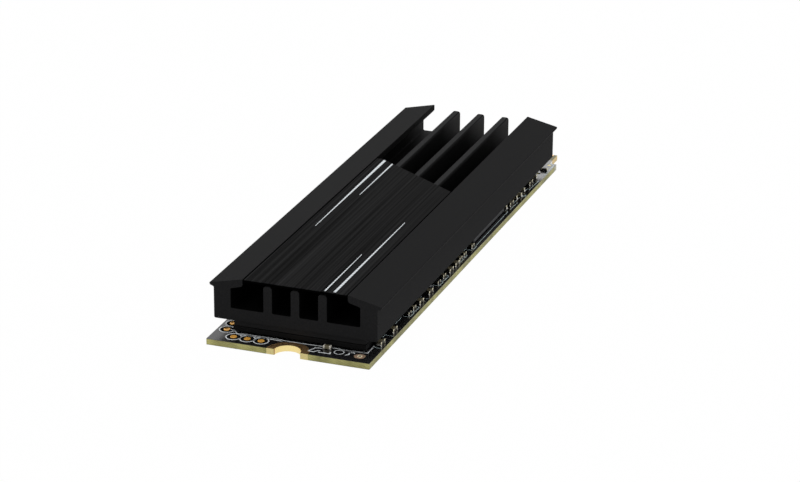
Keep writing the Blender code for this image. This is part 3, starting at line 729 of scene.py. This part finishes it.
solder, tree, shader, grain = grained("tinned_solder", (0.860, 0.840, 0.780, 1.0), 0.20,
                                      grain=0.07, metallic=1.0, contrast=0.35, spread=0.20)
# Painted light and shade: solder faces across X are toned to 0.50, the rest to 0.16.
paint_side_light(tree, shader, grain, elsewhere=0.16, across=0.50)
ball_radius = 0.15 * mm
ball_flatness = 0.75
ball_top = 1.00 * mm
ball_inset = 0.56 * mm
for node, pitch in (("flash_package_1", 0.80), ("flash_package_2", 0.80), ("cache_package", 0.80),
                    ("controller_package", 0.65)):
    low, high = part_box(node)
    bpy.ops.mesh.primitive_uv_sphere_add(segments=12, ring_count=8, radius=ball_radius,
                                         location=(0.0, 0.0, (board_top + ball_top) / 2))
    ball = bpy.context.object
    ball.scale.z = ball_flatness
    bpy.ops.object.transform_apply(location=True, scale=True)
    ball.data.materials.append(solder)
    left, far_right = low.x + ball_inset, high.x - ball_inset
    front, rear = low.y + ball_inset, high.y - ball_inset
    columns = round((far_right - left) / (pitch * mm))
    rows = round((rear - front) / (pitch * mm))
    ring = [(left + (far_right - left) * i / columns, y, 0.0)
            for i in range(columns + 1) for y in (front, rear)]
    ring += [(x, front + (rear - front) * i / rows, 0.0)
             for i in range(1, rows) for x in (left, far_right)]
    balls = repeat(ball, ring, "solder_balls_" + node.replace("_package", ""))
    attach(balls, "root")


# Chip parts. Ceramic capacitors and film resistors, each a small bar dipped in tin at both
# ends. Solder that climbs the ends holds them to the board.

ceramic, tree, shader, grain = grained("brown_ceramic", (0.150, 0.132, 0.080, 1.0), 0.5,
                                       contrast=0.4)
# Painted shade: the ceramic body's faces across X are toned down to 0.30.
paint_side_light(tree, shader, grain, elsewhere=1.0, across=0.30)
resistor_finish = grained("resistor_film", (0.02, 0.02, 0.02, 1.0), 0.4, contrast=0.4)[0]
tinned, tree, shader, grain = grained("tinned_end", (0.860, 0.800, 0.580, 1.0), 0.22,
                                      metallic=0.95, contrast=0.35, spread=0.2)
# Painted light and shade: tinned faces across X keep their full colour, the rest are toned down to
# 0.10; this finish is also on the inductor leads and the power chip's feet.
paint_side_light(tree, shader, grain, elsewhere=0.10, across=1.0)
# Painted light: a paler, less metallic copy of the tinned ends without the side shade, for the
# front capacitor only.
painted_lit_tin = grained("bright_tinned_end", (0.840, 0.800, 0.700, 1.0), 0.30, metallic=0.30,
                     contrast=0.35, spread=0.2)[0]
chip_seat = 0.83 * mm
body_inset = 0.025 * mm
body_bevel = 0.03 * mm
end_bevel = 0.05 * mm
solder_climb = 0.50
solder_reach = 0.17 * mm
solder_side = 0.05 * mm
solder_root = 0.005 * mm
solder_film = 0.012 * mm
solder_curve = 2.2
solder_under = 0.8
flank_pull = 0.995
long_chip = 1.3 * mm


def solder_fillet(width, end, side, rise, cap):
    """A concave wedge of solder that climbs a chip's end and both sides of it."""
    wedge = block("fillet", (-width / 2 - solder_side, end - solder_under * cap,
                             board_top - solder_root),
                  (width / 2 + solder_side, end + solder_reach, board_top + rise))
    bpy.ops.object.mode_set(mode="EDIT")
    bpy.ops.mesh.select_all(action="SELECT")
    bpy.ops.mesh.subdivide(number_cuts=6)
    mesh = bmesh.from_edit_mesh(wedge.data)
    for corner in mesh.verts:
        out_x = max(0.0, abs(corner.co.x) - width / 2) / solder_side
        out_y = max(0.0, corner.co.y - end) / solder_reach
        near = 1.0 - min(1.0, math.hypot(out_x, out_y))
        share = max((corner.co.z - board_top) / rise, 0.0)
        corner.co.z = board_top + share * (solder_film + rise * near ** solder_curve)
        corner.co.y *= side * (1.0 if out_x < 0.5 else flank_pull)
    bmesh.update_edit_mesh(wedge.data)
    bpy.ops.mesh.normals_make_consistent(inside=False)
    bpy.ops.object.mode_set(mode="OBJECT")
    wedge.data.materials.append(solder)
    return wedge


def soldered_chip(length, width, height, cap, body_finish, end_finish):
    """A chip part along Y at the origin: its body, two tinned ends, and the solder at each."""
    body = block("chip", (-width / 2 + body_inset, -length / 2 + body_inset,
                          chip_seat + body_inset),
                 (width / 2 - body_inset, length / 2 - body_inset,
                  chip_seat + height - body_inset))
    use_modifier(body, "worn_edges", "BEVEL", width=body_bevel, segments=2)
    body.data.materials.append(body_finish)
    parts = [body]
    for side in (-1, 1):
        near, far = sorted((side * (length / 2 - cap), side * length / 2))
        end = block("end", (-width / 2, near, chip_seat), (width / 2, far, chip_seat + height))
        use_modifier(end, "dipped_edges", "BEVEL", width=end_bevel, segments=3)
        end.data.materials.append(end_finish)
        parts.append(end)
        parts.append(solder_fillet(width, length / 2, side, height * solder_climb, cap))
    bpy.ops.object.select_all(action="DESELECT")
    for part in parts:
        part.select_set(True)
    bpy.context.view_layer.objects.active = body
    bpy.ops.object.join()
    bpy.ops.object.shade_smooth_by_angle(angle=math.radians(40))
    return bpy.context.object


# each kind's length, width and height and the length of its ends, in millimetres
kinds = {name: soldered_chip(*(size * mm for size in sizes), body_finish, end_finish)
         for name, sizes, body_finish, end_finish in (
             ("long", (1.5, 0.80, 0.50, 0.30), ceramic, tinned),
             ("short", (1.0, 0.50, 0.48, 0.22), ceramic, tinned),
             ("front", (1.0, 0.50, 0.48, 0.20), ceramic, painted_lit_tin),
             ("film", (1.0, 0.50, 0.36, 0.22), resistor_finish, tinned))}
for node in sorted(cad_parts):
    kind = node.split("_")[0]
    if kind not in ("capacitor", "resistor"):
        continue
    low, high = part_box(node)
    size = high - low
    model = kinds["long" if max(size.x, size.y) > long_chip else "short"]
    if kind == "resistor" or node == "capacitor_front":
        model = kinds["film" if kind == "resistor" else "front"]
    chip = model.copy()
    chip.data = model.data.copy()
    bpy.context.scene.collection.objects.link(chip)
    chip.name = "soldered_" + node
    chip.location = ((low.x + high.x) / 2, (low.y + high.y) / 2, 0.0)
    chip.rotation_euler.z = math.pi / 2 if size.x > size.y else 0.0
    bpy.ops.object.select_all(action="DESELECT")
    chip.select_set(True)
    bpy.context.view_layer.objects.active = chip
    bpy.ops.object.transform_apply(location=True, rotation=True, scale=True)
    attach(chip, "root")
    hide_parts(node)
for model in kinds.values():
    bpy.data.objects.remove(model)


# Power section. Moulded inductors and a crystal in a plated can, between the controller and
# the connector.

inductor_finish = grained("moulded_iron_powder", (0.055, 0.052, 0.050, 1.0), 0.6, bump=0.004,
                          metallic=0.1, contrast=0.6)[0]
apply_finish(inductor_finish, "inductor_1", "inductor_2", "inductor_3")
can_finish = grained("plated_can", (0.62, 0.60, 0.56, 1.0), 0.3, bump=0.001, metallic=1.0,
                     contrast=0.2)[0]
apply_finish(can_finish, "crystal_can")

lead_skin = 0.02 * mm
lead_wrap = 0.35 * mm
lead_half = 0.32
lead_rise = 0.45
lid_inset = 0.15
lid_foot = 0.50
foot_half = 0.12 * mm
foot_wrap = 0.10 * mm
foot_rise = 0.20 * mm
foot_pitch = 0.50 * mm
foot_margin = 1.0 * mm
for number in range(1, 4):
    low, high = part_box(f"inductor_{number}")
    size, middle = high - low, (low + high) / 2
    lead = block("lead", (-size.x * lead_half, size.y / 2 - lead_wrap, low.z),
                 (size.x * lead_half, size.y / 2 + lead_skin, low.z + size.z * lead_rise))
    use_modifier(lead, "soft_edges", "BEVEL", width=0.02 * mm, segments=2)
    lead.data.materials.append(tinned)
    leads = repeat(lead, [(middle.x, middle.y, 0.0), (middle.x, middle.y, math.pi)],
                   f"inductor_leads_{number}")
    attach(leads, "root")

low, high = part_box("crystal_can")
lid = block("crystal_lid", low + Vector((lid_inset, lid_inset, lid_foot)) * mm,
            high - Vector((lid_inset, lid_inset, 0.0)) * mm + Vector((0.0, 0.0, lead_skin)))
use_modifier(lid, "pressed_edges", "BEVEL", width=0.015 * mm, segments=2)
lid.data.materials.append(can_finish)
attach(lid, "root")

low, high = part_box("power_chip")
size, middle = high - low, (low + high) / 2
foot = block("foot", (-foot_half, -lead_skin, low.z), (foot_half, foot_wrap, low.z + foot_rise))
foot.data.materials.append(tinned)
steps_x = round((size.x - foot_margin) / foot_pitch) + 1
steps_y = round((size.y - foot_margin) / foot_pitch) + 1
across = [middle.x + (i - (steps_x - 1) / 2) * foot_pitch for i in range(steps_x)]
along = [middle.y + (i - (steps_y - 1) / 2) * foot_pitch for i in range(steps_y)]
foot_places = [(x, low.y, 0.0) for x in across] + [(x, high.y, math.pi) for x in across]
foot_places += [(low.x, y, -math.pi / 2) for y in along]
foot_places += [(high.x, y, math.pi / 2) for y in along]
feet = repeat(foot, foot_places, "power_chip_feet")
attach(feet, "root")


# Thermal pads. Soft silicone filled with mineral powder, laid on the packages and pressed by
# the heatsink, so that the free edges bulge and the pad sags into the gaps between packages.

pad_finish, tree, shader, grain = grained("filled_silicone", (0.0160, 0.0160, 0.0165, 1.0), 0.85,
                                          grain=0.12, bump=0.01, contrast=0.5)
shader.inputs["IOR"].default_value = 1.15
pad_bulge = 0.03 * mm
pad_crown = 0.85
pad_wave = 0.35
pad_sag = 0.14 * mm
sag_curve = 0.6
pad_skin = 0.9
package_gaps = [(-24.7 * mm, -22.7 * mm), (-10.7 * mm, -9.0 * mm)]


def cut_along(piece, axis, cuts):
    """Cuts a block across one axis into equal slices."""
    deselect_mesh()
    bpy.ops.mesh.select_mode(type="EDGE")
    mesh = bmesh.from_edit_mesh(piece.data)
    for edge in mesh.edges:
        run = edge.verts[1].co - edge.verts[0].co
        edge.select = abs(run[axis]) > 0.9 * run.length
    bmesh.update_edit_mesh(piece.data)
    bpy.ops.mesh.subdivide(number_cuts=cuts)
    bpy.ops.object.mode_set(mode="OBJECT")


for node, slices in (("thermal_pad_memory", 73), ("thermal_pad_controller", 24)):
    low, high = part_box(node)
    pad = block("pressed_" + node, low, high)
    cut_along(pad, 1, slices)
    cut_along(pad, 0, 18)
    cut_along(pad, 2, 4)
    for corner in pad.data.vertices:
        spot = corner.co.copy()
        level = (spot.z - low.z) / (high.z - low.z)
        crown = math.sin(math.pi * min(1.0, max(0.0, level)))
        wave = 0.25 * math.sin(spot.y / mm * 2.1) + 0.18 * math.sin(spot.y / mm * 5.3 + 1.0)
        pull = pad_bulge * (1.0 - crown * (pad_crown + pad_wave * wave))
        for axis in (0, 1):
            if abs(spot[axis] - low[axis]) < merge_gap:
                corner.co[axis] += pull
            if abs(spot[axis] - high[axis]) < merge_gap:
                corner.co[axis] -= pull
        for start, stop in package_gaps:
            if start < spot.y < stop and node == "thermal_pad_memory" and level < pad_skin:
                share = (spot.y - start) / (stop - start)
                corner.co.z -= pad_sag * math.sin(math.pi * share) ** sag_curve * (1.0 - level)
    use_modifier(pad, "soft_form", "SUBSURF", levels=1, render_levels=1)
    pad.select_set(True)
    bpy.ops.object.shade_smooth_by_angle(angle=math.radians(50))
    pad.data.materials.append(pad_finish)
    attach(pad, "root")
    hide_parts(node)


# Heatsink. One aluminium extrusion, sawn to length, blasted and anodised black. Its colour holds
# painted shade inside the channel, fading to painted light at the channel's far end, painted light
# on the sawn ends and fin tops, and painted shade on the ledges, lip edges and fin shoulders.

painted_end_light = 0.60
painted_channel_shade = -0.90
painted_channel_end_light = 1.55
channel_fade = (26.5 * mm, 31.5 * mm)
painted_fin_top_light = 1.30
painted_ledge_shade = -0.95
painted_lip_edge_shade = -0.10
painted_fin_shoulder_shade = -2.00
channel_low, channel_high = 4.0 * mm, 7.72 * mm
channel_side = 8.85 * mm
ledge_side = 7.20 * mm
lip_side = 11.0 * mm
fin_side = 4.40 * mm
ledge_turn = 0.6
lip_turn = 0.25
shoulder_turn = 0.45
anodised, tree, shader, grain = grained("black_anodised", (0.0081, 0.0081, 0.0084, 1.0), 0.70,
                                        grain=0.15, bump=0.004, contrast=1.3, spread=0.15)
shader.inputs["IOR"].default_value = 1.12
axes = by_axis(tree, "Object")
facing = by_axis(tree, "Normal")
aside, turned, endways = (calc(tree, "ABSOLUTE", part) for part in (axes[0], facing[0], facing[1]))


def over(value, limit):
    return calc(tree, "GREATER_THAN", value, limit)


def under(value, limit):
    return calc(tree, "LESS_THAN", value, limit)


def times(first, *others):
    for other in others:
        first = calc(tree, "MULTIPLY", first, other)
    return first


long_side = under(endways, 0.5)
high_up = over(axes[2], channel_high)
in_channel = times(under(aside, channel_side), over(axes[2], channel_low),
                   under(axes[2], channel_high), long_side)
on_lip_edge = times(over(aside, lip_side), over(times(turned, facing[2]), lip_turn))
on_ledge = times(under(aside, ledge_side), high_up, over(turned, ledge_turn))
on_fin_top = times(under(aside, fin_side), high_up, long_side)
on_shoulder = times(on_fin_top, over(turned, shoulder_turn))
# Painted light and shade: each mask below scales the colour by its gain.
channel_painted_shade = ramp(tree, axes[1], *channel_fade, painted_channel_shade, painted_channel_end_light)
tone = 1.0
for mask, gain in ((over(endways, 0.7), painted_end_light), (in_channel, channel_painted_shade),
                   (on_fin_top, painted_fin_top_light), (on_ledge, painted_ledge_shade),
                   (on_lip_edge, painted_lip_edge_shade), (on_shoulder, painted_fin_shoulder_shade)):
    tone = calc(tree, "MULTIPLY_ADD", mask, gain, tone)
toned = scaled(tree, grain.outputs["Colour"], tone)
tree.links.new(toned, shader.inputs["Base Color"])
apply_finish(anodised, "heatsink_body")


# Adhesive strips. Black double-sided film, cut in narrow lengths and laid on the tops of the
# fins, where it holds the cover.

adhesive = grained("black_adhesive", (0.006, 0.006, 0.006, 1.0), 0.8, grain=0.1, bump=0.004,
                   contrast=0.5)[0]
apply_finish(adhesive, "adhesive_strip_left", "adhesive_strip_centre", "adhesive_strip_right")


# Cover plate. Thin sheet metal, cut to a slant at one corner, brushed lengthwise and coloured
# black. It lies between the ledges of the heatsink, and its cut sides carry painted shade, darker
# than its face.

brush_stretch = (1.0, 0.005, 1.0)
painted_side_shade = 0.02
brushed, tree, shader, grain = grained("brushed_black", (0.0102, 0.0102, 0.0104, 1.0), 0.60,
                                       grain=0.27, bump=0.005, contrast=5.6, spread=0.35,
                                       stretch=brush_stretch)
# Painted shade: faces that do not look up are toned down to 0.02.
face_or_painted_shade = ramp(tree, by_axis(tree, "Normal")[2], 0.3, 0.8, painted_side_shade, 1.0)
toned = scaled(tree, grain.outputs["Colour"], face_or_painted_shade)
tree.links.new(toned, shader.inputs["Base Color"])
shader.inputs["IOR"].default_value = 1.045
apply_finish(brushed, "cover_plate")


# Printed stripes. Four narrow white wedges, screened on the cover in one thin coat of ink, as
# fine lines across their length.

print_pitch = 0.60 * mm
print_gap_tone = 0.60
white_print, tree, shader, grain = grained("white_print", (0.760, 0.810, 0.840, 1.0), 0.5,
                                           grain=0.1, bump=0.001, contrast=0.1)
turns = calc(tree, "MULTIPLY", by_axis(tree, "Object")[1], 2.0 * math.pi / print_pitch)
line_tone = ramp(tree, calc(tree, "SINE", turns), -1.0, 1.0, print_gap_tone, 1.0)
lined = scaled(tree, grain.outputs["Colour"], line_tone)
tree.links.new(lined, shader.inputs["Base Color"])
apply_finish(white_print, "stripe_1", "stripe_2", "stripe_3", "stripe_4")
